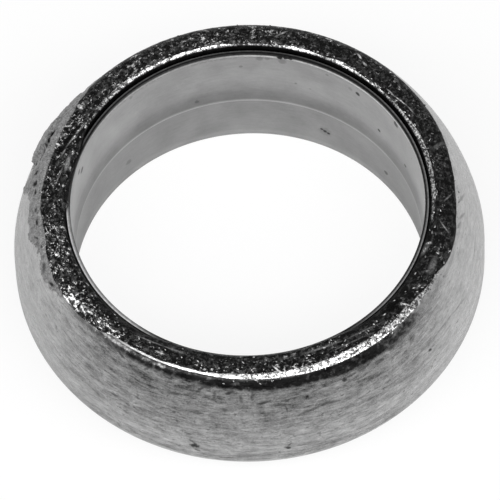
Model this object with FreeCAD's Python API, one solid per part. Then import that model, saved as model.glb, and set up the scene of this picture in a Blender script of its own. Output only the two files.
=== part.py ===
import FreeCAD, Part
import math
import os

from FreeCAD import Vector

# Exhaust gasket of the ring kind, between a pipe end and a flared flange.
# A ring pressed from knitted steel wire and graphite sits on a thin steel sleeve.
# The origin is the centre of the flat back face, and +Z runs along the bore to the small end.
# All sizes are in millimetres.

# The bore and the sheet-steel sleeve round it
bore_radius = 23.0           # upper part of the bore
sheet = 0.5                  # thickness of the sleeve
socket_step = 0.2            # the lower part, which takes the pipe end, is wider by this
bead_rise = 0.35             # how far the rolled bead stands into the upper bore
bead_height = 9.2            # height of the bead's crest over the back face
bead_lead = 3.2              # length of the bead's long upper flank
bead_drop = 0.9              # length of its short lower flank
lead_round = 9.0             # round at the top of the upper flank
crest_round = 1.0            # round of the crest
front_recess = 0.8           # the sleeve's front edge lies this far under the ring's face
back_recess = 0.15           # and its back edge this far inside the back face

# The ring pressed round the sleeve
grip_gap = 0.04              # drawn gap between the sleeve and the ring that grips it
ring_height = 20.8
front_wall = 3.48            # the ring's thickness at the corner of its front face
land_wall = 7.16             # and at its widest, a short cylinder
land_length = 4.48
back_taper_height = 6.1      # the taper from the land to the back face
back_taper_angle = 30.0      # its slope, in degrees from the axis
front_outer_round = 1.5
front_inner_round = 1.3
seat_to_land_round = 4.0
land_to_taper_round = 3.0
back_outer_break = 0.5
back_inner_break = 0.3

# Wear on the seat, at -X: two lifted flakes of the facing, with a bare place between them.
# Each place is set by its azimuth and by its distance down the seat from the front corner.
# Its outline is (towards +azimuth, up the seat), seen straight on.
block_depth = 2.0            # half the depth of the blocks that cut these outlines
long_flake_azimuth = 149.5
long_flake_drop = 5.6
long_flake_lift = 0.64
long_flake_swell = 15.0      # radius of the lifted skin
long_flake_outline = [(-5.6, -1.0), (-5.2, 1.2), (-4.0, 1.8), (-3.2, 3.0), (-1.6, 2.6), (-0.6, 3.5),
                      (1.2, 3.4), (3.1, 2.9), (5.0, 3.3), (5.4, 1.2), (5.8, 0.1), (5.2, -1.5),
                      (3.6, -2.6), (1.8, -2.4), (0.6, -3.4), (-1.4, -3.0), (-2.8, -3.8), (-4.6, -2.6)]
short_flake_azimuth = 167.6
short_flake_drop = 5.9
short_flake_lift = 0.3
short_flake_swell = 8.0
short_flake_outline = [(-1.5, -0.7), (-1.2, 0.9), (0.2, 1.7), (1.5, 1.5), (1.3, 0.2), (0.7, -1.1),
                       (-0.5, -1.6)]
bare_place_azimuth = 163.0
bare_place_drop = 5.0
bare_place_depth = 0.3
bare_place_outline = [(-1.5, -3.0), (-1.1, 0.4), (-1.3, 1.9), (0.3, 2.6), (1.7, 1.8), (1.1, 0.2),
                      (1.3, -1.2), (0.4, -3.4)]

# Sizes that follow from those above
room_radius = bore_radius + sheet + grip_gap
land_radius = room_radius + land_wall
land_top = back_taper_height + land_length
front_corner_radius = room_radius + front_wall
back_corner_radius = land_radius - back_taper_height * math.tan(math.radians(back_taper_angle))

# The spherical seat passes through the front corner and the top of the land
seat_span = ring_height - land_top
seat_centre_height = ((ring_height + land_top) / 2
                      + (front_corner_radius ** 2 - land_radius ** 2) / (2 * seat_span))
seat_radius = math.hypot(land_radius, land_top - seat_centre_height)
front_corner_angle = math.atan2(ring_height - seat_centre_height, front_corner_radius)


def section_point(radius, height):
    return Vector(radius, 0, height)


def line(start, end):
    return Part.LineSegment(start, end).toShape()


def arc(start, end, centre):
    """The shorter arc from start to end round a centre, in the section's plane."""
    towards_middle = ((start - centre) + (end - centre)).normalize()
    middle = centre + towards_middle * start.distanceToPoint(centre)
    return Part.Arc(start, middle, end).toShape()


def rounded_path(corners, rounds):
    """Join corners by straight runs, with a tangent arc at each inner corner whose round isn't zero."""
    edges = []
    start = corners[0]
    for before, corner, after, radius in zip(corners, corners[1:], corners[2:], rounds):
        if radius == 0:
            edges.append(line(start, corner))
            start = corner
            continue
        back = (before - corner).normalize()
        ahead = (after - corner).normalize()
        half_angle = back.getAngle(ahead) / 2
        arc_start = corner + back * (radius / math.tan(half_angle))
        arc_end = corner + ahead * (radius / math.tan(half_angle))
        centre = corner + (back + ahead).normalize() * (radius / math.sin(half_angle))
        edges.append(line(start, arc_start))
        edges.append(arc(arc_start, arc_end, centre))
        start = arc_end
    edges.append(line(start, corners[-1]))
    return edges


def turned(edges):
    """Turn a closed section, given as edges in order, about the bore's axis."""
    return Part.Face(Part.Wire(edges)).revolve(Vector(0, 0, 0), Vector(0, 0, 1), 360)


def bead_corners(outward):
    """The bead's corners from its top to its foot, on a line that lies outward of the bore's surface."""
    upper_slope = math.atan2(bead_rise, bead_lead)
    lower_slope = math.atan2(socket_step + bead_rise, bead_drop)
    crest_reach = outward / math.cos((lower_slope + upper_slope) / 2)
    crest_tilt = (lower_slope - upper_slope) / 2
    crest_radius = bore_radius - bead_rise
    return [
        section_point(bore_radius + outward,
                      bead_height + bead_lead - outward * math.tan(upper_slope / 2)),
        section_point(crest_radius + crest_reach * math.cos(crest_tilt),
                      bead_height + crest_reach * math.sin(crest_tilt)),
        section_point(bore_radius + socket_step + outward,
                      bead_height - bead_drop + outward * math.tan(lower_slope / 2)),
    ]


def seat_edges():
    """The ring's outside from its flat front face to its land: front round, seat and lower round."""
    seat_centre = section_point(0, seat_centre_height)
    front_reach = seat_radius - front_outer_round
    front_drop = ring_height - front_outer_round - seat_centre_height
    front_centre = section_point(math.sqrt(front_reach ** 2 - front_drop ** 2),
                                 ring_height - front_outer_round)
    land_reach = seat_radius - seat_to_land_round
    land_inset = land_radius - seat_to_land_round
    land_centre = section_point(land_inset,
                                seat_centre_height + math.sqrt(land_reach ** 2 - land_inset ** 2))
    face_end = section_point(front_centre.x, ring_height)
    seat_start = seat_centre + (front_centre - seat_centre) * (seat_radius / front_reach)
    seat_end = seat_centre + (land_centre - seat_centre) * (seat_radius / land_reach)
    land_start = section_point(land_radius, land_centre.z)
    return face_end, land_start, [
        arc(face_end, seat_start, front_centre),
        arc(seat_start, seat_end, seat_centre),
        arc(seat_end, land_start, land_centre),
    ]


def turned_ring():
    """The pressed ring: spherical seat, land, taper and back face, with room for the sleeve."""
    face_end, land_start, seat = seat_edges()
    outward = sheet + grip_gap
    room_foot_radius = room_radius + socket_step
    back_inner = section_point(room_foot_radius + back_inner_break, 0)
    land_foot = section_point(land_radius, back_taper_height)
    back_corner = section_point(back_corner_radius, 0)
    up_the_taper = (land_foot - back_corner).normalize()
    outside = rounded_path([land_start, land_foot, back_corner + up_the_taper * back_outer_break,
                            section_point(back_corner_radius - back_outer_break, 0), back_inner],
                           [land_to_taper_round, 0, 0])
    inside_corners = [back_inner, section_point(room_foot_radius, back_inner_break)]
    inside_corners += bead_corners(outward)[::-1]
    inside_corners += [section_point(room_radius, ring_height), face_end]
    inside_rounds = [0, 0, 0, 0, front_inner_round]
    return turned(seat + outside + rounded_path(inside_corners, inside_rounds))


def ball(centre, radius):
    return Part.makeSphere(radius, centre)


def worn_block(azimuth, drop, outline):
    """A block with a ragged outline that stands through the seat at a worn place, and its direction."""
    turn = math.radians(azimuth)
    rise = front_corner_angle - drop / seat_radius
    outward = Vector(math.cos(turn) * math.cos(rise), math.sin(turn) * math.cos(rise), math.sin(rise))
    across = Vector(-math.sin(turn), math.cos(turn), 0)
    up = outward.cross(across)
    foot = Vector(0, 0, seat_centre_height) + outward * (seat_radius - block_depth)
    corners = [foot + across * along + up * rising for along, rising in outline]
    face = Part.Face(Part.makePolygon(corners + [corners[0]]))
    return face.extrude(outward * 2 * block_depth), outward


def lifted_flake(azimuth, drop, lift, swell, outline):
    """A flake of the facing that bulges off the seat by lift at its middle."""
    block, outward = worn_block(azimuth, drop, outline)
    return block.common(ball(Vector(0, 0, seat_centre_height) + outward * (seat_radius + lift - swell), swell))


def bare_place(azimuth, drop, depth, outline):
    """What is missing where the facing has come off down to depth."""
    block, outward = worn_block(azimuth, drop, outline)
    return block.cut(ball(Vector(0, 0, seat_centre_height), seat_radius - depth))


def make_mesh_ring():
    """The ring as worn, with its lifted flakes and its bare place."""
    long_flake = lifted_flake(long_flake_azimuth, long_flake_drop, long_flake_lift,
                              long_flake_swell, long_flake_outline)
    short_flake = lifted_flake(short_flake_azimuth, short_flake_drop, short_flake_lift,
                               short_flake_swell, short_flake_outline)
    missing = bare_place(bare_place_azimuth, bare_place_drop, bare_place_depth, bare_place_outline)
    return turned_ring().cut(missing).fuse([long_flake, short_flake])


def make_inner_sleeve():
    """The sheet-steel sleeve: upper bore, rolled bead and the socket for the pipe end."""
    top = ring_height - front_recess
    socket_radius = bore_radius + socket_step
    corners = [section_point(bore_radius, top)]
    corners += bead_corners(0)
    corners += [section_point(socket_radius, back_recess),
                section_point(socket_radius + sheet, back_recess)]
    corners += bead_corners(sheet)[::-1]
    corners += [section_point(bore_radius + sheet, top), corners[0]]
    rounds = [lead_round, crest_round] + [0] * (len(corners) - 4)
    return turned(rounded_path(corners, rounds))


os.makedirs("parts", exist_ok=True)
pieces = {
    "mesh_ring": make_mesh_ring(),
    "inner_sleeve": make_inner_sleeve(),
}
for name, shape in pieces.items():
    solid = shape.Solids[0]
    solid.exportStep("parts/" + name + ".step")
    print(name, "volume", round(solid.Volume, 1), "mm3, valid:", solid.isValid())
print("seat radius", round(seat_radius, 3), "centred", round(seat_centre_height, 3), "over the back face")
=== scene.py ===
import math
import random

import bpy
from mathutils import Matrix, Vector, noise


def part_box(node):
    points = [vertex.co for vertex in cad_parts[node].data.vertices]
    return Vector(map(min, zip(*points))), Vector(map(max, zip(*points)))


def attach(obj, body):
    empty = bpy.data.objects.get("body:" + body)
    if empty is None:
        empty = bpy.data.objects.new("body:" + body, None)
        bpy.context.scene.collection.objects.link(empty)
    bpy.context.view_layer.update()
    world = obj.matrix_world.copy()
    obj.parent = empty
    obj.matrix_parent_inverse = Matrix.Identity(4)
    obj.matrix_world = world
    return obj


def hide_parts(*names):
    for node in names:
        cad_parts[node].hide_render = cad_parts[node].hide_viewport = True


# Exhaust gasket: a ring pressed from knitted steel wire and graphite, on a thin steel sleeve.
# Everything is in metres, in the part's own frame: +Z along the bore, the back face at z = 0.
# Lengths with no unit in their name are millimetres, and MM turns them into metres.

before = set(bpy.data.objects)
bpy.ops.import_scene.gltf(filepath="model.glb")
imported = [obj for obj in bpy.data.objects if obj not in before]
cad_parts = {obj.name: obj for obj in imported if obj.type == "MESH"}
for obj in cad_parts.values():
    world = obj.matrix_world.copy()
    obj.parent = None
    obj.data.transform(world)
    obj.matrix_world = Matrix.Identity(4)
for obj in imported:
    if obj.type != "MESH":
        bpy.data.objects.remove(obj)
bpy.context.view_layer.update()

MM = 0.001
ring_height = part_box("mesh_ring")[1].z / MM
land_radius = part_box("mesh_ring")[1].x / MM
rim_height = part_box("inner_sleeve")[1].z / MM

# The ring's section, as the part has it
seat_radius = 31.15
seat_centre_height = 5.3
front_outer_round = 1.5
front_inner_round = 1.3
seat_to_land_round = 4.0
land_foot_height = 6.1
land_to_taper_round = 3.0
taper_angle = math.radians(30.0)
back_outer_break = 0.5
back_inner_break = 0.3
room_radius = 23.54                     # the ring's inner wall round the upper sleeve

# The sleeve's section
bore_radius = 23.0
sheet = 0.5
socket_step = 0.2
bead_rise = 0.35
bead_height = 9.2
bead_lead = 3.2
bead_drop = 0.9
back_recess = 0.15

# How finely the two sections are turned round the bore
ring_columns = 840
sleeve_columns = 480
face_zone_height = 20.3                 # above this height the ring has its face's material

# The photograph's view
view_elevation = math.radians(58.44)
view_roll = math.radians(-2.55)
lens_pixels = 8000.0                    # focal length in pixels of the 500 pixel frame
frame_pixels = 500.0
view_distance = 1035.8
rim_centre_right = -0.314               # the sleeve's rim centre, seen from the lens axis
rim_centre_down = -6.14

# The surroundings, with lengths in metres
floor_size = (0.18, 0.27)
floor_whiteness = 0.86                  # share of plain white in what is seen of the floor
room_light = 0.04                       # the room's light, where what is seen of the room is 1
softbox_place = (0, -0.75, 1.2)
softbox_size = (3.6, 0.7)
softbox_power = 46.0                    # watts


def deselect_all():
    for item in bpy.context.selected_objects:
        item.select_set(False)
    bpy.context.view_layer.objects.active = None


def make_camera():
    ahead = Vector((0, math.cos(view_elevation), -math.sin(view_elevation)))
    level_right = Vector((1, 0, 0))
    level_down = ahead.cross(level_right)
    right = math.cos(view_roll) * level_right - math.sin(view_roll) * level_down
    down = math.sin(view_roll) * level_right + math.cos(view_roll) * level_down
    rim_centre = Vector((0, 0, rim_height))
    place = rim_centre - ahead * view_distance - right * rim_centre_right - down * rim_centre_down
    data = bpy.data.cameras.new("camera")
    camera = bpy.data.objects.new("camera", data)
    bpy.context.scene.collection.objects.link(camera)
    data.sensor_width = 36.0
    data.lens = lens_pixels / frame_pixels * data.sensor_width
    data.clip_start = 0.05
    data.clip_end = 20.0
    turn = Matrix((right, -down, -ahead)).transposed().to_4x4()
    camera.matrix_world = Matrix.Translation(place * MM) @ turn
    bpy.context.scene.camera = camera


# Shader maths written as expressions on sockets

class Value:
    """A number or vector in a node tree, so that sums and products of sockets can be written out."""

    def __init__(self, tree, socket):
        self.tree = tree
        self.socket = socket

    def math(self, operation, *others):
        operands = dict(enumerate((self, *others)))
        return add_node(self.tree, "ShaderNodeMath", {"operation": operation}, operands)

    def __add__(self, other):
        return self.math("ADD", other)

    def __mul__(self, other):
        return self.math("MULTIPLY", other)

    def __sub__(self, other):
        return self.math("SUBTRACT", other)

    def __rsub__(self, other):
        return add_node(self.tree, "ShaderNodeMath", {"operation": "SUBTRACT"}, {0: other, 1: self})

    def __truediv__(self, other):
        return self.math("DIVIDE", other)

    __radd__ = __add__
    __rmul__ = __mul__

    def rises(self, low, high):
        """A smooth step from 0 to 1 while this value goes from low to high."""
        return add_node(self.tree, "ShaderNodeMapRange", {"interpolation_type": "SMOOTHSTEP"},
                        {0: self, 1: low, 2: high, 3: 0.0, 4: 1.0})


def add_node(tree, kind, settings=None, inputs=None, output=0):
    node = tree.nodes.new(kind)
    for name, setting in (settings or {}).items():
        setattr(node, name, setting)
    for name, given in (inputs or {}).items():
        if isinstance(given, Value):
            tree.links.new(given.socket, node.inputs[name])
        else:
            node.inputs[name].default_value = given
    return Value(tree, node.outputs[output])


class Finish:
    """A material under construction: its node tree, its shader and the coordinates it is drawn on."""

    def __init__(self, name):
        self.material = bpy.data.materials.new(name)
        self.material.use_nodes = True
        self.tree = self.material.node_tree
        self.shader = self.tree.nodes["Principled BSDF"]
        place = self.node("ShaderNodeTexCoord", output=3)
        self.place = self.node("ShaderNodeVectorMath", {"operation": "SCALE"}, {0: place, 3: 1 / MM})
        parts = self.node("ShaderNodeSeparateXYZ", inputs={0: self.place})
        outputs = parts.socket.node.outputs
        self.x, self.y, self.z = (Value(self.tree, outputs[axis]) for axis in range(3))
        self.radius = (self.x * self.x + self.y * self.y).math("SQRT")
        self.cosine = self.x / self.radius
        self.sine = self.y / self.radius

    def node(self, kind, settings=None, inputs=None, output=0):
        return add_node(self.tree, kind, settings, inputs, output)

    def vector(self, x, y, z):
        return self.node("ShaderNodeCombineXYZ", inputs={0: x, 1: y, 2: z})

    def attribute(self, name):
        return self.node("ShaderNodeAttribute", {"attribute_name": name}, output=2)

    def clouds(self, at, scale, detail, roughness, distortion=0.0):
        return self.node("ShaderNodeTexNoise", {}, {"Vector": at, "Scale": scale, "Detail": detail,
                                                    "Roughness": roughness, "Distortion": distortion})

    def blend(self, share, low, high):
        """A number that goes from low to high as share goes from 0 to 1."""
        return self.node("ShaderNodeMix", {"data_type": "FLOAT"}, {0: share, 2: low, 3: high})

    def grey(self, level):
        return self.node("ShaderNodeCombineColor", inputs={0: level, 1: level, 2: level})

    def feed(self, name, given):
        if isinstance(given, Value):
            self.tree.links.new(given.socket, self.shader.inputs[name])
        else:
            self.shader.inputs[name].default_value = given

    def away_from(self, middle, turn, sizes):
        """The distance from the middle of a turned ellipsoid, as a share of its half lengths."""
        near = self.node("ShaderNodeMapping", {"vector_type": "TEXTURE"},
                         {0: self.place, 1: middle, 2: turn, 3: sizes})
        return self.node("ShaderNodeVectorMath", {"operation": "LENGTH"}, {0: near}, output=1)

    def bump(self, height, depth):
        """A bump whose height is in millimetres times depth."""
        return self.node("ShaderNodeBump", {}, {"Strength": 1.0, "Distance": depth * MM, "Height": height})


# Surroundings

def make_floor():
    """A white sheet under the part, bright enough by itself to leave only a faint shadow."""
    bpy.ops.mesh.primitive_plane_add(size=1.0, location=(0, 0, 0))
    floor = bpy.context.active_object
    floor.name = "floor"
    bpy.ops.object.mode_set(mode="EDIT")
    bpy.ops.transform.resize(value=(*floor_size, 1.0))
    bpy.ops.object.mode_set(mode="OBJECT")
    finish = Finish("white_floor")
    finish.feed("Base Color", (0.9, 0.9, 0.9, 1))
    finish.feed("Roughness", 0.9)
    seen = finish.node("ShaderNodeLightPath")
    white = finish.node("ShaderNodeEmission", {}, {"Color": (1, 1, 1, 1), "Strength": 1.0})
    lit = Value(finish.tree, finish.shader.outputs[0])
    mixed = finish.node("ShaderNodeMixShader", {}, {0: seen * floor_whiteness, 1: lit, 2: white})
    finish.tree.links.new(mixed.socket, finish.tree.nodes["Material Output"].inputs["Surface"])
    floor.data.materials.append(finish.material)


def make_light(name, place, aim, size, power):
    data = bpy.data.lights.new(name, "AREA")
    data.shape = "RECTANGLE"
    data.size, data.size_y = size
    data.energy = power
    lamp = bpy.data.objects.new(name, data)
    bpy.context.scene.collection.objects.link(lamp)
    direction = Vector(aim) - Vector(place)
    turn = direction.to_track_quat("-Z", "Y").to_matrix().to_4x4()
    lamp.matrix_world = Matrix.Translation(place) @ turn


def make_world(level):
    """A room that gives dim light, and that the camera and the mirroring steel see as white."""
    world = bpy.data.worlds.new("studio")
    bpy.context.scene.world = world
    world.use_nodes = True
    background = world.node_tree.nodes["Background"]
    background.inputs["Color"].default_value = (1, 1, 1, 1)
    seen = add_node(world.node_tree, "ShaderNodeLightPath")
    outputs = seen.socket.node.outputs
    mirrored = Value(world.node_tree, outputs["Is Glossy Ray"])
    strength = seen.math("MAXIMUM", mirrored) * (1 - level) + level
    world.node_tree.links.new(strength.socket, background.inputs["Strength"])


# The ring's surface. A place on it is an azimuth and a reach: the distance in millimetres along the
# section, outward from the inner edge of the flat front face.

inner_centre = (room_radius + front_inner_round, ring_height - front_inner_round)
outer_centre_height = ring_height - front_outer_round
outer_drop = outer_centre_height - seat_centre_height
outer_centre = (math.sqrt((seat_radius - front_outer_round) ** 2 - outer_drop ** 2), outer_centre_height)
flat_length = outer_centre[0] - inner_centre[0]
seat_start_angle = math.atan2(outer_drop, outer_centre[0])
outer_round_end = flat_length + (math.pi / 2 - seat_start_angle) * front_outer_round


def section_place(reach):
    """The section's radius, height and outward normal at a reach on the front edges, face or seat."""
    if reach < 0:
        angle = math.pi / 2 - reach / front_inner_round
        centre, radius = inner_centre, front_inner_round
    elif reach < flat_length:
        return inner_centre[0] + reach, ring_height, 0.0, 1.0
    elif reach < outer_round_end:
        angle = math.pi / 2 - (reach - flat_length) / front_outer_round
        centre, radius = outer_centre, front_outer_round
    else:
        angle = seat_start_angle - (reach - outer_round_end) / seat_radius
        centre, radius = (0, seat_centre_height), seat_radius
    out, up = math.cos(angle), math.sin(angle)
    return centre[0] + radius * out, centre[1] + radius * up, out, up


def arc_points(centre, radius, start, end, step):
    """Section points and normals along an arc, its angles in degrees from the outward direction."""
    count = max(2, round(abs(math.radians(end - start)) * radius / step))
    points = []
    for index in range(count):
        angle = math.radians(start + (end - start) * index / count)
        out, up = math.cos(angle), math.sin(angle)
        points.append((centre[0] + radius * out, centre[1] + radius * up, out, up))
    return points


def line_points(start, end, step):
    length = math.hypot(end[0] - start[0], end[1] - start[1])
    count = max(1, round(length / step))
    along = ((end[0] - start[0]) / length, (end[1] - start[1]) / length)
    points = []
    for index in range(count):
        reach = length * index / count
        points.append((start[0] + along[0] * reach, start[1] + along[1] * reach, -along[1], along[0]))
    return points


def path_points(corners):
    """Section points along the straight runs of a path. A corner holds the step of the run after it."""
    points = []
    for start, end in zip(corners, corners[1:]):
        points += line_points(start[:2], end[:2], start[2])
    return points


def ring_section():
    """The ring's closed section from the foot of its front inner round, outward and round the back."""
    land_inset = land_radius - seat_to_land_round
    land_top = seat_centre_height + math.sqrt((seat_radius - seat_to_land_round) ** 2 - land_inset ** 2)
    seat_end_angle = math.atan2(land_top - seat_centre_height, land_inset)
    seat_end = outer_round_end + (seat_start_angle - seat_end_angle) * seat_radius
    taper_reach = land_to_taper_round * math.tan(taper_angle / 2)
    land_end = land_foot_height + taper_reach
    taper_normal = -math.degrees(taper_angle)
    back_corner = land_radius - land_foot_height * math.tan(taper_angle)
    taper_start = (land_radius - taper_reach * math.sin(taper_angle),
                   land_foot_height - taper_reach * math.cos(taper_angle))
    taper_end = (back_corner + back_outer_break * math.sin(taper_angle),
                 back_outer_break * math.cos(taper_angle))
    room_foot = room_radius + socket_step
    fine, medium, coarse = 0.165, 0.34, 1.2
    start = -front_inner_round * math.pi / 2
    fine_count = round((outer_round_end + 2.0 - start) / fine)
    points = [section_place(start + fine * index) for index in range(fine_count)]
    seat_from = start + fine * fine_count
    seat_count = round((seat_end - seat_from) / medium)
    points += [section_place(seat_from + (seat_end - seat_from) * index / seat_count)
               for index in range(seat_count)]
    points += arc_points((land_inset, land_top), seat_to_land_round,
                         math.degrees(seat_end_angle), 0, medium)
    points += line_points((land_radius, land_top), (land_radius, land_end), medium)
    points += arc_points((land_radius - land_to_taper_round, land_end), land_to_taper_round,
                         0, taper_normal, medium)
    crest_radius = room_radius - bead_rise + 0.03
    points += path_points([
        (*taper_start, 0.45), (*taper_end, medium), (back_corner - back_outer_break, 0, coarse),
        (room_foot + back_inner_break, 0, coarse), (room_foot, back_inner_break, coarse),
        (room_foot, bead_height - bead_drop, coarse), (crest_radius, bead_height, coarse),
        (room_radius, bead_height + bead_lead, coarse), (room_radius, inner_centre[1], coarse),
    ])
    return points


def through(stations, place):
    """A value read from stations (place, value), with smooth steps between them."""
    for (start, low), (end, high) in zip(stations, stations[1:]):
        if start <= place <= end:
            share = (place - start) / (end - start)
            share = share * share * (3 - 2 * share)
            return low + (high - low) * share
    return stations[-1][1]


def step_up(low, high, place):
    share = min(1.0, max(0.0, (place - low) / (high - low)))
    return share * share * (3 - 2 * share)


# How far the facing stands out on the worn side, in millimetres, by azimuth in degrees from 0 to 360.
# From 130 to 167 it follows the outline measured in the photograph.
swelling = [
    (0, 0), (122, 0), (130, 0.08), (137, 0.03), (140, 0.27), (145, 0.35), (148, 0.5), (150.5, 0.66),
    (154, 0.58), (156.8, 0.42), (157.6, -0.27), (160.5, -0.33), (162.6, -0.15), (164, -0.24),
    (165.2, 0.15), (167, 0.3), (169, 0.25), (172, 0.1), (190, 0.08), (204, 0.06), (208, 0), (360, 0),
]

# How far down the seat the worn facing reaches, as a height, by azimuth
worn_foot = [
    (0, 21.5), (130, 21.0), (137, 14.5), (150, 12.4), (159, 13.5), (162, 15.5), (164.5, 14.2),
    (168, 14.8), (171, 17.2), (176, 18.4), (180, 17.8), (185, 17.6), (189, 18.9), (193, 19.2),
    (198, 18.4), (202, 18.6), (207, 19.2), (212, 20.3), (220, 21.5), (360, 21.5),
]

# How rough the pressed front edge is, by azimuth
edge_roughness = [
    (0, 0.7), (60, 0.8), (110, 0.9), (150, 1.0), (200, 1.0), (225, 0.7), (236, 0.12), (254, 0.12),
    (260, 0.6), (270, 0.95), (310, 1.0), (340, 0.9), (360, 0.7),
]

# How far the ring's front inner edge is folded over the sleeve's rim, by azimuth
fold_over = [
    (0, 0), (150, 0), (157, 0.42), (177, 0.42), (181, 0.1), (184, 0), (234, 0), (243, 0.45),
    (297, 0.45), (304, 0.1), (308, 0), (360, 0),
]

# How widely wear has flattened the front outer round, as half the angle that the flat takes from it
crest_flat = [(0, 0), (254, 0), (262, 10), (275, 16), (300, 16), (316, 12), (324, 0), (360, 0)]
crest_flat_tilt = 25.0                  # how far that flat leans outward from level, in degrees

# Where graphite ends on the front outer round, as the height of the round's normal, by azimuth.
# Heights of normals go from 0 for a wall to 1 for the flat face.
black_end = [
    (0, 0.85), (10, 0.84), (20, 0.73), (60, 0.6), (120, 0.55), (134, 0.6), (141, 0.85), (147, 0.97),
    (158, 0.985), (168, 0.975), (175, 0.9), (180, 0.88), (184, 0.93), (189, 0.94), (196, 0.75),
    (203, 0.5), (214, 0.5), (221, 0.7), (228, 0.96), (254, 0.97), (262, 0.99), (272, 0.998),
    (286, 0.9999), (305, 0.998), (320, 0.99), (332, 0.88), (340, 0.5), (345, 0.5), (352, 0.75),
    (360, 0.85),
]

# The bare edge between the face and the groove round the sleeve: how far it reaches up the
# front inner round, as the height of its normal, how light it is painted as a highlight where it
# faces the softbox, and how far up the groove's black, painted shade, reaches
bare_edge_top = [
    (0, 0.93), (20, 0.95), (32, 0.86), (48, 0.84), (57, 0.93), (64, 0.85), (73, 0.92), (80, 0.84),
    (91, 0.84), (97, 0.91), (118, 0.92), (130, 0.95), (142, 0.93), (148, 0.7), (154, 0.0), (166, 0.0),
    (345, 0.0), (350, 0.85), (360, 0.93),
]
bare_edge_highlight = [
    (0, 0.55), (10, 0.6), (22, 0.85), (30, 0.7), (38, 0.45), (48, 0.5), (57, 0.75), (64, 0.35),
    (70, 0.9), (76, 0.7), (80, 0.25), (92, 0.25), (97, 0.8), (108, 0.9), (118, 0.65), (130, 0.45),
    (142, 0.35), (150, 0.15), (165, 0.06), (345, 0.3), (360, 0.55),
]
groove_end = [
    (0, 0.6), (20, 0.66), (60, 0.72), (120, 0.72), (145, 0.68), (156, 0.5), (160, 0.1), (177, 0.1),
    (182, 0.6), (232, 0.6), (242, 0.15), (298, 0.15), (308, 0.6), (360, 0.6),
]

# How light the burnished crest is, by azimuth: bare worn metal, painted brighter as a highlight on the
# side facing the softbox
crest_wear_and_highlight = [
    (0, 0), (218, 0), (226, 0.3), (233, 0.7), (256, 0.95), (300, 0.95), (312, 0.75), (325, 0.5),
    (338, 0.35), (346, 0.1), (350, 0), (360, 0),
]

# Where the burnished crest and its painted highlight end below, and the soot and painted shade may start,
# as the height of the round's normal
crest_end = [
    (0, 0.84), (215, 0.90), (228, 0.925), (254, 0.92), (264, 0.87), (276, 0.82), (286, 0.76),
    (300, 0.72), (318, 0.74), (330, 0.78), (345, 0.84), (360, 0.84),
]

# How black the top of the seat is and at what height that starts, by azimuth: a little soot, and
# mostly painted shade that stands for the dark reflection under the crest
soot_and_shade_depth = [
    (0, 0.1), (10, 0.0), (150, 0.0), (205, 0.15), (225, 0.5), (243, 0.8), (258, 1.0), (284, 1.0),
    (300, 0.9), (314, 0.65), (325, 0.3), (340, 0.2), (352, 0.1), (360, 0.1),
]
soot_and_shade_start = [
    (0, 19.0), (205, 19.0), (235, 19.3), (250, 19.3), (262, 19.0), (272, 18.7), (284, 18.7),
    (296, 18.3), (314, 18.3), (330, 18.6), (360, 19.0),
]

# How many bright flecks the face has, by azimuth
fleck_share = [
    (0, 0.05), (20, 0.1), (60, 0.25), (90, 0.4), (120, 0.4), (150, 0.45), (175, 0.4), (190, 0.7),
    (196, 0.95), (203, 0.6), (208, 0.95), (222, 0.85), (232, 0.7), (245, 0.45), (262, 0.7), (275, 0.6),
    (290, 0.35), (320, 0.3), (335, 0.2), (350, 0.05), (360, 0.05),
]

# What share of the flecks is missing at the bore's side of the face, by azimuth
inner_dark = [
    (0, 0.3), (120, 0.2), (150, 0.1), (195, 0.1), (215, 0.7), (235, 1.0), (255, 0.7), (285, 0.7),
    (330, 1.0), (345, 0.5), (360, 0.3),
]

# The line of pits along which the worn facing has split: azimuth and height of its points,
# in part converted from places read in the photograph
pit_line = [
    (152.8, 19.4), (157.3, 19.3), (157.6, 18.4), (158.5, 17.0), (158.6, 14.8), (160.5, 16.0),
    (164.0, 18.0), (167.0, 19.0), (170.0, 19.4), (174.0, 19.6),
]


# The relief: the seat's radius near its top, the depths of crumpling, and the pits' reach and depth
seat_top_radius = 28.0
face_crumple = 0.09
edge_crumple = 0.06
pit_reach = 2.0
pit_depth = 0.12


def around_at(azimuth):
    """Millimetres round the seat at its top, from an azimuth in degrees."""
    return math.radians(azimuth) * seat_top_radius


def pit_line_distance(azimuth, height):
    """The distance in millimetres from the line of pits, at most pit_reach."""
    nearest = pit_reach
    if not 145 < azimuth < 188:
        return nearest
    place = Vector((around_at(azimuth), height))
    for start, end in zip(pit_line, pit_line[1:]):
        first = Vector((around_at(start[0]), start[1]))
        along = Vector((around_at(end[0]), end[1])) - first
        share = min(1.0, max(0.0, (place - first).dot(along) / along.length_squared))
        nearest = min(nearest, (place - first - along * share).length)
    return nearest


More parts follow.
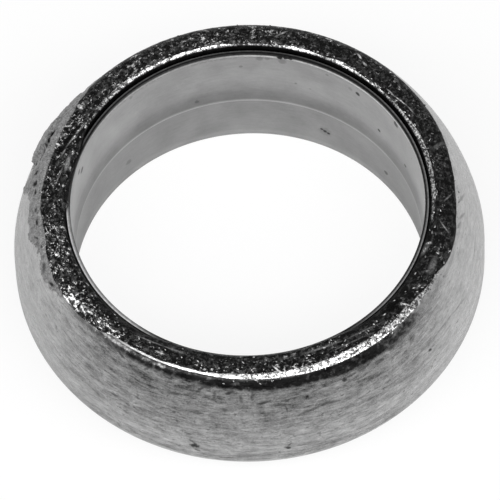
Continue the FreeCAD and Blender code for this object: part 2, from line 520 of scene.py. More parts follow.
def relief(azimuth, point, out, up, height):
    """How far the pressed surface stands off its smooth section, in millimetres."""
    offset = 0.0
    if up > 0.4:
        face = step_up(0.4, 0.75, up)
        rough = through(edge_roughness, azimuth)
        flat = step_up(0.9, 1.0, up)
        crumple = noise.fractal(point * 1.3, 0.7, 2.1, 4)
        offset += face * (face_crumple * flat + edge_crumple * (1 - flat) * rough) * crumple
    if out < 0 and up > 0.1:
        fold = through(fold_over, azimuth)
        if fold > 0:
            swell = 1 + 0.3 * noise.noise(point)
            offset += fold * step_up(0.1, 0.4, up) * step_up(1.0, 0.85, up) * swell
    half_flat = through(crest_flat, azimuth)
    if half_flat > 0 and out > 0:
        tilt = math.degrees(math.atan2(out, up)) - crest_flat_tilt
        if abs(tilt) < half_flat:
            cut = math.cos(math.radians(half_flat)) / math.cos(math.radians(tilt))
            offset -= front_outer_round * (1 - cut)
    if 130 < azimuth < 215 and 9.5 < height < 20.2 and out > 0:
        worn = step_up(-0.1, 0.15, worn_margin(azimuth, point, height))
        if worn > 0:
            lift = through(swelling, azimuth + noise.noise(point * 0.9) * 0.8)
            lumpy = 0.12 if 138 < azimuth < 172 else 0.07
            lumps = lumpy * noise.fractal(point * 1.5, 0.8, 2.0, 3)
            offset += worn * (lift * step_up(19.8, 18.6, height) + lumps)
            offset -= pit_depth * step_up(0.4, 0.1, pit_line_distance(azimuth, height))
    return offset


def worn_margin(azimuth, point, height):
    """How far above the ragged foot of the worn facing a point is."""
    ragged = noise.noise(point * 0.8) * 0.8 + noise.noise(point * 2.5) * 0.4
    return height - through(worn_foot, azimuth) - ragged


def turned(name, section, columns):
    """A closed section of (radius, height, ...) points turned about the bore's axis."""
    bpy.ops.mesh.primitive_circle_add(vertices=len(section), radius=MM)
    piece = bpy.context.active_object
    piece.name = name
    for vertex, point in zip(piece.data.vertices, section):
        vertex.co = (point[0] * MM, 0, point[1] * MM)
    turn = piece.modifiers.new("turn", "SCREW")
    turn.axis = "Z"
    turn.angle = math.tau
    turn.steps = turn.render_steps = columns
    bpy.ops.object.modifier_apply(modifier="turn")
    bpy.ops.object.mode_set(mode="EDIT")
    bpy.ops.mesh.select_all(action="SELECT")
    bpy.ops.mesh.normals_make_consistent(inside=False)
    bpy.ops.object.mode_set(mode="OBJECT")
    return piece


def set_attribute(mesh, name, values):
    attribute = mesh.attributes.new(name, "FLOAT", "POINT")
    attribute.data.foreach_set("value", values)


field_names = ("cover", "reach", "flecks", "margin", "soot_and_shade", "under", "groove_shadow", "edge_highlight", "crest",
               "rough")


def surface_fields(azimuth, point, place):
    """What the ring's finish reads at one point of its surface, in the order of field_names."""
    radius, height, out, up = place
    if up > 0.9999:
        cover = 1.0
    elif out > 0:
        cover = up - through(black_end, azimuth)
    else:
        cover = up - through(bare_edge_top, azimuth)
    reach = section_reach(radius, height, out, up)
    missing_flecks = through(inner_dark, azimuth) * step_up(1.3, 0.1, reach)
    low = through(soot_and_shade_start, azimuth)
    in_soot_and_shade = height > low and out > 0
    on_front = height > 18.5
    return (
        cover if on_front else -1.0,
        reach,
        through(fleck_share, azimuth) * (1 - missing_flecks),
        worn_margin(azimuth, point, height) if out > 0 and height > 10 else -5.0,
        through(soot_and_shade_depth, azimuth) * step_up(low, low + 0.9, height) if in_soot_and_shade else 0.0,
        through(crest_end, azimuth) - up,
        through(groove_end, azimuth) - up if out < 0 and height > 15 else -1.0,
        through(bare_edge_highlight, azimuth) if out < -0.01 and on_front else 0.0,
        through(crest_wear_and_highlight, azimuth) if out > 0.01 and height > 18.8 else 0.0,
        through(edge_roughness, azimuth),
    )


def ring_zone(centre):
    """The ring's material at a place: 0 left of the seat, 1 the face, 2 the worn side, 3 right."""
    if centre.z > face_zone_height * MM:
        return 1
    if centre.x < -abs(centre.y):
        return 2
    return 0 if centre.x < 0 else 3


def make_ring():
    """The pressed ring: its section turned round the bore, then worked over point by point."""
    section = ring_section()
    ring = turned("pressed_ring", section, ring_columns)
    rows = []
    for index, vertex in enumerate(ring.data.vertices):
        place = section[index % len(section)]
        radius, height, out, up = place
        point = vertex.co / MM
        azimuth = math.degrees(math.atan2(point.y, point.x)) % 360
        rows.append(surface_fields(azimuth, point, place))
        # The inner wall and the back face stay smooth
        if radius > room_radius + 0.3 and height > 0.6 or height > 19.5:
            normal = Vector((point.x / radius * out, point.y / radius * out, up))
            vertex.co += normal * relief(azimuth, point, out, up, height) * MM
    for name, values in zip(field_names, zip(*rows)):
        set_attribute(ring.data, name, values)
    zones = [ring_zone(polygon.center) for polygon in ring.data.polygons]
    ring.data.polygons.foreach_set("material_index", zones)
    bpy.ops.object.shade_smooth()
    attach(ring, "root")
    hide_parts("mesh_ring")
    return ring


def section_reach(radius, height, out, up):
    """The reach of a place on the front edges, the face or the seat, only rough low on the seat."""
    if height < 15:
        return outer_round_end + (19.5 - height) * 1.15
    if radius < inner_centre[0]:
        return -math.atan2(-out, up) * front_inner_round
    if radius < outer_centre[0] and up > 0.999:
        return radius - inner_centre[0]
    angle = math.atan2(up, out)
    if angle > seat_start_angle:
        return flat_length + (math.pi / 2 - angle) * front_outer_round
    return outer_round_end + (seat_start_angle - angle) * seat_radius


# How many strands of wire lie on the front inner edge, the face and the outer edge, by azimuth
inner_edge_share = [
    (0, 0.5), (11, 0.8), (40, 0.6), (60, 1.0), (90, 0.6), (110, 1.0), (144, 0.8), (160, 0.5),
    (180, 0.15), (320, 0.1), (345, 0.4), (360, 0.5),
]
face_share = [
    (0, 0.25), (60, 0.35), (100, 0.4), (140, 0.5), (190, 0.8), (225, 0.8), (245, 0.4), (290, 0.3),
    (330, 0.3), (360, 0.25),
]
outer_edge_share = [
    (0, 0.1), (90, 0.15), (150, 0.1), (180, 0.2), (195, 0.7), (222, 0.5), (230, 0.0), (258, 0.0),
    (264, 0.3), (275, 0.5), (318, 0.5), (330, 0.4), (345, 0.15), (360, 0.1),
]

# What share of them is clean of graphite
cleanness = [
    (0, 0.1), (60, 0.15), (100, 0.3), (130, 0.4), (190, 0.65), (225, 0.65), (250, 0.5), (270, 0.8),
    (315, 0.7), (330, 0.4), (345, 0.12), (360, 0.1),
]


def strand_share(azimuth, reach):
    if reach < -0.1:
        return through(inner_edge_share, azimuth)
    if reach < flat_length - 0.1:
        return through(face_share, azimuth)
    return through(outer_edge_share, azimuth)


def surface_at(azimuth, reach):
    """The worked surface's point and smooth normal, in millimetres."""
    radius, height, out, up = section_place(reach)
    cosine, sine = math.cos(math.radians(azimuth)), math.sin(math.radians(azimuth))
    point = Vector((radius * cosine, radius * sine, height))
    normal = Vector((out * cosine, out * sine, up))
    return point + normal * relief(azimuth % 360, point, out, up, height), normal


strand_root = 0.12                      # how deep a strand's ends lie under the surface


def add_strand(points, faces, choice, azimuth, reach):
    """Add a flattened length of wire that rises out of the surface and sinks back; count its points."""
    length = choice.uniform(0.25, 0.65)
    width = choice.uniform(0.05, 0.11)
    heading = choice.gauss(0, 0.3) if reach < -0.1 else choice.gauss(0, 0.9)
    bend = choice.uniform(-0.8, 0.8)
    proud = choice.uniform(0.0, 0.04)
    stations, sides = 5, 5
    first = len(points)
    along, rise = -math.cos(heading) * length / 2, -math.sin(heading) * length / 2
    for station in range(stations):
        share = station / (stations - 1)
        middle = math.sin(math.pi * share)
        direction = heading + bend * (share - 0.5)
        radius = section_place(reach)[0]
        centre, normal = surface_at(azimuth + math.degrees(along / radius), reach + rise)
        round_bore = Vector((-centre.y, centre.x, 0)).normalized()
        up_section = normal.cross(round_bore)
        side = round_bore * -math.sin(direction) - up_section * math.cos(direction)
        lift = (proud + strand_root) * middle - strand_root
        for corner in range(sides):
            turn = math.tau * corner / sides + math.pi / 2
            reach_out = side * math.cos(turn) * width * (0.35 + 0.65 * middle)
            points.append(centre + reach_out + normal * (lift + math.sin(turn) * width * 0.75))
        along += math.cos(direction) * length / (stations - 1)
        rise += math.sin(direction) * length / (stations - 1)
    for station in range(stations - 1):
        for corner in range(sides):
            beside = (corner + 1) % sides
            low = first + station * sides
            faces.append((low + corner, low + beside, low + sides + beside, low + sides + corner))
    faces.append(tuple(first + corner for corner in reversed(range(sides))))
    faces.append(tuple(first + (stations - 1) * sides + corner for corner in range(sides)))
    return stations * sides


def make_wires(name, count, seed):
    choice = random.Random(seed)
    points, faces, clean = [], [], []
    while count > 0:
        azimuth = choice.uniform(0, 360)
        reach = choice.uniform(-0.95, outer_round_end - 0.1)
        if choice.random() > strand_share(azimuth, reach):
            continue
        is_clean = choice.random() < through(cleanness, azimuth) or reach < -0.2
        shine = choice.uniform(0.65, 1.0) if is_clean else choice.uniform(0.02, 0.22)
        clean += [shine] * add_strand(points, faces, choice, azimuth, reach)
        count -= 1
    mesh = bpy.data.meshes.new(name)
    mesh.from_pydata([point * MM for point in points], [], faces)
    wires = bpy.data.objects.new(name, mesh)
    bpy.context.scene.collection.objects.link(wires)
    set_attribute(mesh, "clean", clean)
    deselect_all()
    wires.select_set(True)
    bpy.context.view_layer.objects.active = wires
    bpy.ops.object.mode_set(mode="EDIT")
    bpy.ops.mesh.select_all(action="SELECT")
    bpy.ops.mesh.normals_make_consistent(inside=False)
    bpy.ops.object.mode_set(mode="OBJECT")
    bpy.ops.object.shade_smooth()
    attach(wires, "root")
    return wires


# How light the sleeve's rim is painted by azimuth, as light and shade, then the corner that it shares
# with the bore, painted dark as shade, the rim's inner half as a share of the rim, and the lip under
# the corner, painted light as a highlight
rim_light_and_shade = [
    (0, 0.11), (30, 0.09), (60, 0.05), (120, 0.06), (150, 0.06), (176, 0.08), (183, 0.30), (225, 0.32),
    (240, 0.05), (300, 0.03), (320, 0.14), (345, 0.14), (360, 0.11),
]
corner_shade = [
    (0, 0.02), (60, 0.02), (90, 0.03), (130, 0.05), (150, 0.04), (175, 0.02), (240, 0.02), (300, 0.02),
    (345, 0.015), (360, 0.02),
]
rim_inner_share = [(0, 0.15), (150, 0.15), (172, 0.6), (300, 0.6), (330, 0.15), (360, 0.15)]
lip_highlight = [
    (0, 0.4), (25, 0.52), (85, 0.52), (100, 0.36), (140, 0.36), (165, 0.3), (200, 0.2), (340, 0.25),
    (360, 0.34),
]


def make_sleeve():
    """The sleeve: rim, upper bore, rolled bead and socket, with its outer wall behind them."""
    top = rim_height
    outer = bore_radius + sheet
    socket = bore_radius + socket_step
    crest = bore_radius - bead_rise
    bead_top = bead_height + bead_lead
    bead_foot = bead_height - bead_drop
    corners = [
        (outer - 0.03, top - 0.03, 0.09), (bore_radius + 0.1, top, 0.12),
        (bore_radius + 0.02, top - 0.03, 0.12), (bore_radius, top - 0.1, 0.2),
        (bore_radius, top - 0.5, 0.2), (bore_radius, top - 0.7, 0.1), (bore_radius, top - 0.8, 0.5),
        (bore_radius, bead_top + 0.9, 0.45), (bore_radius - 0.05, bead_top - 0.9, 0.3),
        (crest + 0.03, bead_height + 0.3, 0.1), (crest, bead_height, 0.07),
        (crest + 0.06, bead_height - 0.2, 0.2), (socket, bead_foot, 0.5), (socket, back_recess, 0.5),
        (socket + sheet, back_recess, 2.0), (socket + sheet, bead_foot + 0.1, 1.0),
        (crest + sheet + 0.01, bead_height + 0.1, 1.0), (outer, bead_top, 2.0), (outer, top - 0.2, 0.5),
    ]
    points = path_points(corners + corners[:1])
    sleeve = turned("thin_sleeve", points, sleeve_columns)
    rim, tone = [], []
    for index, vertex in enumerate(sleeve.data.vertices):
        radius, height = points[index % len(points)][:2]
        azimuth = math.degrees(math.atan2(vertex.co.y, vertex.co.x)) % 360
        rim.append(1.0 if height > top - 0.75 else 0.0)
        # Painted light and shade on the rim: a highlight on the lip, a dark line of shade at the corner
        # with the bore, and the rim's grey changing round the bore with the light
        if height < top - 0.4:
            tone.append(through(lip_highlight, azimuth))
        elif radius < bore_radius + 0.04:
            tone.append(through(corner_shade, azimuth))
        else:
            share = through(rim_inner_share, azimuth)
            share += (1.7 - share) * step_up(0.2, 0.42, radius - bore_radius)
            tone.append(through(rim_light_and_shade, azimuth) * share)
    set_attribute(sleeve.data, "rim", rim)
    set_attribute(sleeve.data, "tone", tone)
    bpy.ops.object.shade_smooth_by_angle(angle=math.radians(28))
    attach(sleeve, "root")
    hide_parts("inner_sleeve")
    return sleeve


# Finishes

# Folds, wisps and pockets that stand out in the face: x and y of both ends, half width and lightness.
# The ends are converted from places read in the photograph.
face_lines = [
    (-21.1, 12.9, -22.4, 11.3, 0.30, 0.006), (-22.4, 11.3, -23.6, 9.4, 0.34, 0.006),
    (-23.6, 9.4, -24.4, 8.0, 0.36, 0.006), (-20.7, 12.2, -21.5, 10.9, 0.24, 0.008),
    (-21.5, 10.9, -22.6, 8.9, 0.22, 0.01), (-24.6, 12.0, -25.4, 9.8, 0.45, 0.008),
    (-20.8, 12.6, -22.0, 11.1, 0.14, 0.32), (-22.0, 11.1, -23.1, 9.4, 0.13, 0.26),
    (-23.1, 9.4, -24.0, 7.7, 0.13, 0.22), (-23.7, 6.3, -24.9, 3.3, 0.13, 0.22),
    (-22.9, 7.7, -23.4, 5.6, 0.36, 0.30), (-15.4, -19.6, -11.5, -21.6, 0.13, 0.20),
    (-11.5, -21.6, -9.0, -22.8, 0.13, 0.16), (17.0, -17.9, 18.7, -16.5, 0.75, 0.006),
    (19.0, -16.7, 20.4, -17.2, 0.14, 0.85), (19.9, -17.1, 18.6, -19.1, 0.22, 0.55),
    (2.3, -25.2, 3.9, -27.0, 0.16, 0.9), (2.5, -26.1, 3.9, -26.4, 0.25, 0.75),
    (6.1, -23.8, 11.7, -21.8, 0.16, 0.12), (11.7, -21.8, 17.0, -19.2, 0.14, 0.12),
    (9.5, -23.6, 15.5, -20.8, 0.12, 0.10), (18.9, 15.9, 19.7, 14.9, 0.12, 0.5),
    (19.7, 14.9, 21.3, 13.3, 0.11, 0.6), (21.3, 13.3, 22.2, 12.0, 0.12, 0.22),
    (24.7, -4.6, 25.8, -6.5, 0.11, 0.3), (22.9, -7.8, 23.3, -7.8, 0.22, 0.95),
    (22.8, -8.1, 22.1, -9.3, 0.5, 0.22), (25.4, -1.6, 26.4, -0.6, 0.16, 0.16),
    (24.3, 6.5, 25.9, 7.5, 0.35, 0.10), (23.8, -10.2, 23.0, -12.4, 0.5, 0.13),
    (11.3, 24.4, 11.8, 24.2, 0.2, 0.65), (15.3, 21.6, 15.7, 20.9, 0.18, 0.6),
    (15.9, 20.3, 16.3, 19.7, 0.16, 0.4), (4.6, 24.9, 6.2, 25.7, 0.16, 0.32),
    (-5.3, 26.9, -4.0, 26.1, 0.15, 0.35), (-21.5, 15.6, -21.1, 15.1, 0.26, 0.8),
    (-24.6, 9.9, -24.1, 9.6, 0.2, 0.8), (-23.4, 12.4, -22.5, 12.5, 0.13, 0.75),
]

# Pits in the worn skin: azimuth, height, half length, half width, slant and darkness
skin_pits = [
    (154, 19.4, 0.5, 0.25, 0, 1.0), (156, 19.35, 0.4, 0.25, 0, 1.0), (157.5, 18.85, 0.4, 0.25, -90, 1.0),
    (158, 17.7, 0.35, 0.3, 10, 1.0), (159, 17.0, 0.35, 0.3, -5, 1.0), (158.5, 14.75, 0.3, 0.3, -75, 0.9),
    (164, 18.1, 0.8, 0.2, 45, 1.0), (166.5, 19.0, 0.25, 0.3, -10, 0.9), (170, 19.3, 0.4, 0.25, -40, 1.0),
    (173, 19.6, 0.35, 0.25, 5, 0.9), (156, 17.3, 0.25, 0.15, 5, 0.8), (183.5, 20.1, 0.35, 0.2, 25, 1.0),
    (179.5, 20.0, 0.25, 0.2, -90, 0.8), (187.5, 19.5, 0.6, 0.1, 45, 0.7), (197, 19.3, 0.5, 0.3, -40, 0.6),
    (202.5, 19.35, 0.4, 0.15, 25, 0.9),
]

land_marks_below = 11.8                 # marks under this height lie on the land

# Dark marks on the seat: azimuth, height, half length, half width, slant in degrees and darkness
seat_marks = [
    (-128, 19.6, 0.4, 0.15, -25, 0.6), (-120, 19.5, 0.4, 0.15, 45, 0.6), (-118, 17.3, 0.5, 0.2, -10, 0.4),
    (-108, 18.9, 0.4, 0.15, 45, 0.5), (-105, 18.8, 0.5, 0.15, 55, 0.5), (-103, 19.4, 0.7, 0.15, 20, 0.6),
    (-101, 18.3, 0.5, 0.15, -95, 0.5), (-97, 18.9, 0.6, 0.15, 25, 0.6), (-94, 18.0, 0.6, 0.15, -85, 0.4),
    (-91, 18.6, 0.6, 0.15, 85, 0.4), (-111, 14.6, 0.2, 0.15, 0, 0.6), (-110, 13.3, 0.3, 0.15, -15, 0.5),
    (-105.5, 9.0, 0.5, 0.3, 0, 1.0), (-106, 9.9, 0.5, 0.15, -45, 0.6), (-105, 8.0, 0.4, 0.15, -25, 0.6),
    (-107, 11.4, 0.3, 0.15, 0, 0.5), (-127, 13.3, 0.4, 0.15, 0, 0.5), (-93, 7.5, 2.1, 0.1, 0, 0.3),
    (-88.5, 17.4, 0.6, 0.15, 15, 0.6), (-84, 16.9, 0.9, 0.15, -5, 0.6), (-82.5, 16.2, 0.5, 0.1, -80, 0.5),
    (-76.5, 15.2, 1.2, 0.15, 10, 0.5), (-72, 15.5, 0.9, 0.15, -5, 0.5), (-66.5, 18.0, 0.3, 0.2, 20, 0.7),
    (-61, 18.3, 0.5, 0.35, 0, 0.4), (-56, 18.0, 0.5, 0.3, -10, 0.5), (-51, 18.6, 0.6, 0.2, 0, 0.6),
    (-45, 17.5, 0.5, 0.3, 0, 0.5), (-41, 13.7, 0.3, 0.15, -40, 0.8), (-83, 8.9, 0.4, 0.2, -25, 0.9),
    (-82.5, 9.6, 0.4, 0.1, 55, 0.6), (-74, 10.6, 2.5, 0.15, -5, 0.25), (-79, 8.9, 0.8, 0.15, -10, 0.4),
    (-10, 14.9, 1.5, 0.1, 10, 0.4), (-27, 14.1, 2.0, 0.1, -15, 0.3), (-38, 14.8, 3.0, 0.1, 0, 0.3),
    (-1, 19.5, 1.2, 0.15, -40, 0.4), (-6, 19.2, 1.0, 0.15, -40, 0.4), (-10, 19.8, 0.7, 0.15, -30, 0.35),
]


def seat_place(azimuth, height):
    """A point of the seat or land by azimuth and height, with its directions round the bore and out."""
    if height > land_marks_below:
        radius = math.sqrt(seat_radius ** 2 - (height - seat_centre_height) ** 2)
        tilt = math.asin((height - seat_centre_height) / seat_radius)
    else:
        radius = land_radius
        tilt = 0.0
    turn = math.radians(azimuth)
    cosine, sine = math.cos(turn), math.sin(turn)
    outward = Vector((cosine * math.cos(tilt), sine * math.cos(tilt), math.sin(tilt)))
    return Vector((radius * cosine, radius * sine, height)), Vector((-sine, cosine, 0)), outward


class PressedFinish(Finish):
    """Pressed wire and graphite: the noises that all its surfaces share, and each surface's grey."""

    def __init__(self, name):
        super().__init__(name)
        self.rough = self.attribute("rough")
        self.grit = self.clouds(self.place, 2.4, 4.0, 0.7)
        self.grain = self.clouds(self.place, 5.5, 2.0, 0.6)
        self.lumps = self.clouds(self.place, 1.3, 3.0, 0.6)
        self.patches = self.clouds(self.place, 0.55, 2.0, 0.5)

    def threads(self, field, thin, wide):
        """Curly lines where a noise passes through its middle."""
        return 1 - (field - 0.5).math("ABSOLUTE").rises(thin, wide)

    def marked(self, shade, marks, ragged):
        """A shade made darker inside each mark, an ellipse on the seat with a ragged edge."""
        for azimuth, height, length, width, slant, depth in marks:
            middle, around, outward = seat_place(azimuth, height)
            axes = Matrix((around, outward.cross(around), outward)).transposed()
            turn = axes @ Matrix.Rotation(math.radians(slant), 3, "Z")
            away = self.away_from(middle, turn.to_euler(), (length * 1.15, width * 1.4, 1.5))
            kept = (away * 0.8 + (self.grit - 0.5) * ragged).rises(0.4, 1.2)
            shade = shade * (kept * depth + (1 - depth))
        return shade

    def face(self, lines):
        """The face's grey and relief: folds, wisps of wire, black gaps and bright flecks in clusters."""
        grit, grain, lumps = self.grit, self.grain, self.lumps
        reach = self.attribute("reach")
        flecks = self.attribute("flecks")
        fold_place = self.vector(self.cosine * 18.0, self.sine * 18.0, reach * 2.4)
        folds = self.clouds(fold_place, 1.0, 4.0, 0.6, 0.6)
        wisps = self.threads(self.clouds(self.place, 0.9, 3.0, 0.55, 0.8), 0.004, 0.028)
        broken = grit.rises(0.44, 0.56)
        fleck_place = self.vector(self.cosine * 38.0, self.sine * 38.0, reach * 2.4)
        fleck_cells = self.clouds(fleck_place, 1.0, 3.0, 0.6)
        body = (lumps * 0.5 + folds * 0.35 + grit * 0.15).rises(0.48, 0.58)
        fibres = grit.rises(0.4, 0.7) * 0.5 + grain.rises(0.34, 0.68) * 0.5
        shade = 0.006 + body * (0.008 + fibres * (0.035 + flecks * 0.08))
        shade = shade + wisps * broken * (0.025 + flecks * 0.06)
        cluster = (self.patches - 0.5) * 1.1 + (lumps - 0.5) * 0.6
        curls = self.threads(self.clouds(self.place, 2.1, 2.0, 0.5, 1.5), 0.008, 0.05)
        clustered = fleck_cells + flecks * 0.1 + cluster * (0.25 + flecks * 0.3)
        shade = shade + (clustered + curls * 0.12).rises(0.71, 0.8) * (0.12 + flecks * 0.95)
        line_grain = 0.35 + grit.rises(0.42, 0.6) * 0.6 + (grain - 0.5) * 0.8
        for first_x, first_y, last_x, last_y, width, lightness in lines:
            middle = ((first_x + last_x) / 2, (first_y + last_y) / 2, ring_height)
            half = math.hypot(last_x - first_x, last_y - first_y) / 2 + width
            turn = (0, 0, math.atan2(last_y - first_y, last_x - first_x))
            away = self.away_from(middle, turn, (half, width, 1.5))
            share = 1 - (away + (grit - 0.5) * 2.0 + (grain - 0.5) * 0.8).rises(0.5, 1.1)
            shade = self.blend(share, shade, line_grain * lightness)
        return shade, (folds - 0.5) * 0.12 + (grit - 0.5) * 0.12 + wisps * 0.02

    def seat(self, marks, below):
        """The seat's grey, relief and roughness: streaks, grain, dots, painted light and shade, and a dark
        band below the crest, mostly painted shade with some grime.
        """
        level = self.z - self.radius * (1 - self.z.rises(0.2, 0.6))
        streaks = self.clouds(self.vector(self.cosine * 9.0, self.sine * 9.0, level * 1.6), 1.0, 4.0, 0.6)
        fine_place = self.vector(self.cosine * 34.0, self.sine * 34.0, level * 4.5)
        fine_streaks = self.clouds(fine_place, 1.0, 3.0, 0.6)
        front = (self.sine * -1).rises(0.3, 0.9)
        dot_place = self.vector(self.cosine * 40.0, self.sine * 40.0, level * 2.6)
        dots = self.clouds(dot_place, 1.0, 3.0, 0.7) + (self.patches - 0.5) * 0.3 + front * 0.03
        # Painted light and shade: the seat lighter at the sides than at the front, which faces the lens,
        # and darker up towards the crest at the front. Lower down it is also darker towards the bottom and
        # at the lower left.
        rise = self.z.rises(7.0, 20.0)
        tone = 0.41 - front * 0.08 - rise * (front * 0.12 + 0.03) + self.cosine.rises(0.1, 0.7) * 0.015
        tone = tone - (1 - self.z.rises(6.5, 10.0)) * 0.08
        tone = tone - (self.cosine * -1).rises(0.3, 0.9) * (1 - rise) * 0.06
        mottle = (streaks - 0.5) * 0.4 + (fine_streaks - 0.5) * 0.34
        mottle = mottle + (self.grain - 0.5) * 0.24 + (self.patches - 0.5) * 0.24
        shade = (tone + mottle * (0.75 + front * 0.4)) * (1 - dots.rises(0.62, 0.72) * 0.5)
        # Painted shade with a little soot: the band under the crest is darkened to stand for a dark
        # reflection
        soot_and_shade = self.attribute("soot_and_shade")
        sooty_and_shaded = soot_and_shade + (self.lumps - 0.5) * soot_and_shade * 2.2 + (fine_streaks - 0.5) * soot_and_shade * 1.2
        shade = shade * (1 - sooty_and_shaded.rises(0.0, 0.9) * below * 0.93)
        relief_of_seat = (fine_streaks - 0.5) * 0.02 + (streaks - 0.5) * 0.03 + (self.grain - 0.5) * 0.01
        return self.marked(shade, marks, 1.8), relief_of_seat, 0.27 + (streaks - 0.5) * 0.16

    def skin(self, pits):
        """The worn facing's grey and relief."""
        shade = 0.21 + (self.lumps - 0.5) * 0.25 + (self.grit - 0.5) * 0.5 + (self.grain - 0.5) * 0.45
        return self.marked(shade, pits, 0.5), (self.lumps - 0.5) * 0.16 + (self.grain - 0.5) * 0.06


def pressed_finish(name, lines=(), marks=(), pits=()):
    """Burnished steel and graphite on the seat, black graphite with wire showing through on the face."""
    finish = PressedFinish(name)
    grit, rough = finish.grit, finish.rough
    wander = (grit - 0.5) * 0.5 + (finish.patches - 0.5) * 0.5
    graphite = (finish.attribute("cover") + wander * 0.12).rises(-0.012, 0.012)
    worn = (finish.attribute("margin") + (grit - 0.5) * 0.8).rises(-0.06, 0.06)
    below = (finish.attribute("under") + (grit - 0.5) * 0.2 * rough).rises(-0.012, 0.012)
    face_shade, face_relief = finish.face(lines)
    seat_shade, seat_relief, seat_roughness = finish.seat(marks, below)
    skin_shade, skin_relief = finish.skin(pits)

    # The bare edges, painted with highlights and glints: the burnished crest outside, and the one inside
    # beside the groove, whose black is painted shade
    glints = grit.rises(0.42, 0.56) * (0.2 + finish.grain.rises(0.38, 0.6) * 0.8)
    edge_highlight = finish.attribute("edge_highlight")
    depth_in_groove = finish.attribute("groove_shadow")
    # Painted shade: the bare edge is dimmed towards the groove round the sleeve
    out_of_groove = (depth_in_groove * -1).rises(0.02, 0.12)
    edge_shade = edge_highlight * (0.07 + glints * 0.93) * (0.3 + 0.7 * out_of_groove)
    crest = finish.attribute("crest")
    crest_shade = crest * (1 - rough * 0.96 + glints * rough * 0.96)
    burnished = crest.rises(0.0, 0.05) * (1 - below)
    bare = finish.blend(worn, finish.blend(burnished, seat_shade, crest_shade), skin_shade)
    bare = finish.blend(edge_highlight.rises(0.0, 0.05), bare, edge_shade)
    # Painted shade: the groove between the ring's inner edge and the sleeve's rim is drawn nearly black
    groove_shadow = (depth_in_groove + (grit - 0.5) * 0.08).rises(-0.02, 0.02)
    shade = finish.blend(graphite, bare, face_shade) * (1 - groove_shadow * 0.97)

    finish.feed("Base Color", finish.grey(shade.math("MAXIMUM", 0.004)))
    finish.feed("Metallic", 1.0)
    finish.feed("Roughness", finish.blend(graphite, finish.blend(worn, seat_roughness, 0.5), 0.42))
    height = finish.blend(graphite, finish.blend(worn, seat_relief, skin_relief), face_relief)
    finish.feed("Normal", finish.bump(height, 1.0))
    return finish.material


def wire_finish():
    """Steel wire, bright where it was rubbed and black where graphite covers it."""
    finish = Finish("steel_wire")
    clean = finish.attribute("clean")
    grime = finish.clouds(finish.place, 2.2, 3.0, 0.6).rises(0.35, 0.65)
    bare = clean * (1 - grime * 0.6)
    finish.feed("Base Color", finish.grey(0.01 + bare * 0.55))
    finish.feed("Metallic", 1.0)
    finish.feed("Roughness", 0.42 - bare * 0.12)
    return finish.material


# Dark specks in the bore: azimuth, height, radius and darkness, their places read in the same way
bore_specks = [
    (62.6, 3.9, 0.24, 0.9), (61.4, 3.7, 0.2, 0.9), (63.8, 4.15, 0.2, 0.8), (62.4, 3.9, 0.8, 0.15),
    (49.2, 17.7, 0.3, 0.95), (30.8, 18.7, 0.42, 1.0), (39.8, 12.8, 0.22, 0.9), (44.5, 9.2, 0.24, 0.8),
    (24.8, 11.9, 0.24, 0.9), (37.3, 3.3, 0.32, 0.7), (64.0, 9.5, 0.2, 0.4), (72.2, 13.9, 0.14, 0.35),
    (67.2, 13.5, 0.14, 0.2), (77.2, 19.5, 0.34, 1.0), (75.4, 19.6, 0.3, 1.0), (73.8, 19.6, 0.26, 0.9),
    (76.5, 18.6, 0.45, 0.3), (90.2, 16.9, 0.2, 0.3), (105.5, 10.4, 0.3, 0.35),
    (158.5, 16.3, 0.42, 0.95), (161.0, 17.4, 0.34, 0.8), (129.5, 18.7, 0.25, 0.3),
    (131.8, 3.7, 0.4, 0.3), (20.0, 16.4, 0.14, 0.4), (61.0, 18.4, 0.2, 0.3), (52.2, 17.8, 0.3, 0.2),
    (84.0, 18.8, 0.4, 0.3), (81.5, 18.9, 0.3, 0.3),
]


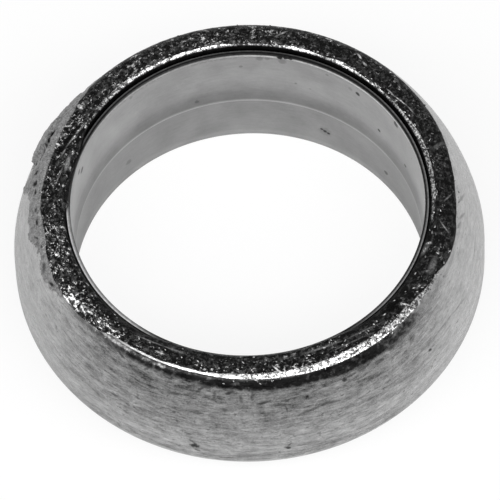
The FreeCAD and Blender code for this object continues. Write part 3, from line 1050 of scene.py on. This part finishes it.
def sleeve_finish():
    """Satin rolled sheet, darker above the bead with grime and painted shade, a painted highlight along
    the bead, faint marks round the bore and dark specks.
    """
    finish = Finish("satin_sheet_steel")
    round_place = finish.vector(finish.cosine * 14.0, finish.sine * 14.0, finish.z * 3.0)
    marks = finish.clouds(round_place, 1.0, 4.0, 0.6)
    blotches = finish.clouds(finish.place, 0.22, 3.0, 0.5)
    # Painted light and shade by height on the bore: a little soot and painted shade darken it above the
    # bead, a painted highlight runs along the bead's crest, painted shade darkens the wall below it, and
    # it is lighter near the foot
    soot_and_shade = finish.z.rises(bead_height + 0.2, bead_height + 4.4) * 0.32 + 0.6
    below = 1 - finish.z.rises(bead_height + 0.1, bead_height + 0.25)
    bead_highlight = 1 - (finish.z - (bead_height + 0.05)).math("ABSOLUTE").rises(0.1, 0.35)
    foot = 1 - finish.z.rises(0.8, 1.6)
    upper = soot_and_shade + finish.z.rises(17.5, 19.5) * 0.05
    band = finish.blend(below, upper, 0.74 + foot * 0.12) + bead_highlight * 0.28
    ticks = finish.clouds(finish.place, 2.5, 3.0, 0.6)
    smudge = finish.z.rises(18.5, 19.3) * (ticks + (blotches - 0.5) * 0.8).rises(0.42, 0.56)
    tone = 0.33 + (marks - 0.5) * 0.1 + (blotches - 0.5) * 0.2 + (ticks - 0.5) * 0.05
    shade = tone * band * (1 - smudge * 0.3)
    # The rim takes the painted light and shade set on the sleeve's tone
    shade = finish.blend(finish.attribute("rim"), shade, finish.attribute("tone") * (0.3 + ticks * 1.4))
    for azimuth, height, radius, depth in bore_specks:
        turn = math.radians(azimuth)
        wall = bore_radius if height > bead_height else bore_radius + socket_step
        middle = (wall * math.cos(turn), wall * math.sin(turn), height)
        away = finish.node("ShaderNodeVectorMath", {"operation": "DISTANCE"},
                           {0: finish.place, 1: middle}, output=1)
        kept = (away + (ticks - 0.5) * radius * 1.2).rises(radius * 0.8, radius * 1.5)
        shade = shade * (kept * depth + (1 - depth))
    finish.feed("Base Color", finish.grey(shade))
    finish.feed("Metallic", 1.0)
    finish.feed("Roughness", 0.36 + (marks - 0.5) * 0.15)
    finish.feed("Normal", finish.bump(marks, 0.02))
    return finish.material


deselect_all()
make_camera()
make_floor()
make_world(room_light)
make_light("top_softbox", softbox_place, (0, 0, 0), softbox_size, softbox_power)
deselect_all()

ring = make_ring()
# The seat's materials meet at azimuth -90, and a mark near there is in both
left_marks = [mark for mark in seat_marks if mark[0] < -84]
right_marks = [mark for mark in seat_marks if mark[0] > -96]
for material in (pressed_finish("pressed_seat_left", marks=left_marks),
                 pressed_finish("pressed_face", lines=face_lines),
                 pressed_finish("pressed_worn_side", pits=skin_pits),
                 pressed_finish("pressed_seat_right", marks=right_marks)):
    ring.data.materials.append(material)
wire_steel = wire_finish()
for name, count, seed in (("face_wires", 320, 3), ("edge_wires", 260, 8)):
    make_wires(name, count, seed).data.materials.append(wire_steel)
deselect_all()
sleeve = make_sleeve()
sleeve.data.materials.append(sleeve_finish())

bpy.context.scene.view_settings.view_transform = "Standard"
